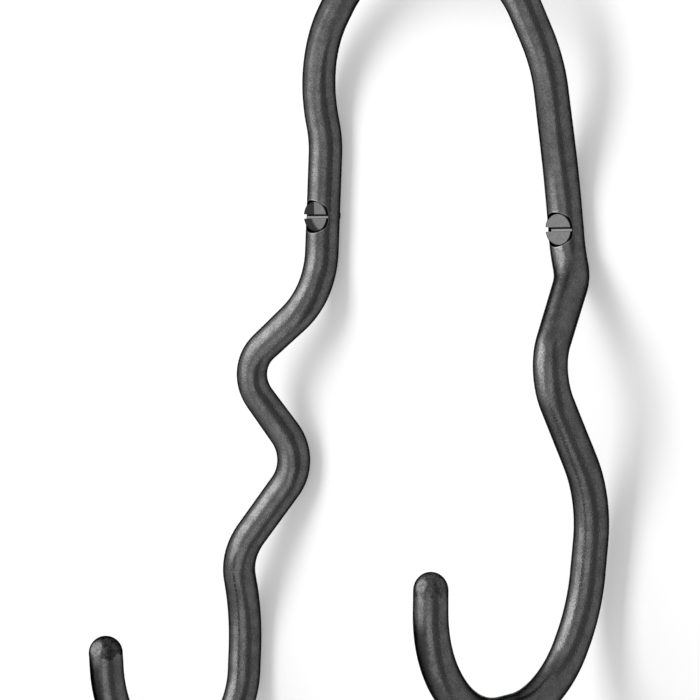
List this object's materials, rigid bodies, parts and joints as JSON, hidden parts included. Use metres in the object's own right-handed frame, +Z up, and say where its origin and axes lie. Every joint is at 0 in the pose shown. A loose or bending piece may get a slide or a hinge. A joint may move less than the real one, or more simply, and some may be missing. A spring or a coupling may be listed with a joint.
{
  "type": "wall hook",
  "caption": "Wall hook bent from one dark steel rod into an arch with wavy legs that end in forward hooks, with slotted countersunk screws through the legs.",
  "frame": {"origin": "on the wall plane, midway between the two wall screws", "axes": "+Z up, +Y into the wall along the screws, +X to the right as seen from the room; the front faces -Y"},
  "size_m": [0.1164, 0.0878, 0.1988],
  "materials": {
    "rod_steel": "burnished dark grey steel, mottled, satin",
    "screw_steel": "plain turned steel, satin"
  },
  "bodies": {
    "root": {"bent_rod": "rod_steel", "left_screw": "screw_steel", "right_screw": "screw_steel"}
  },
  "joints": []
}
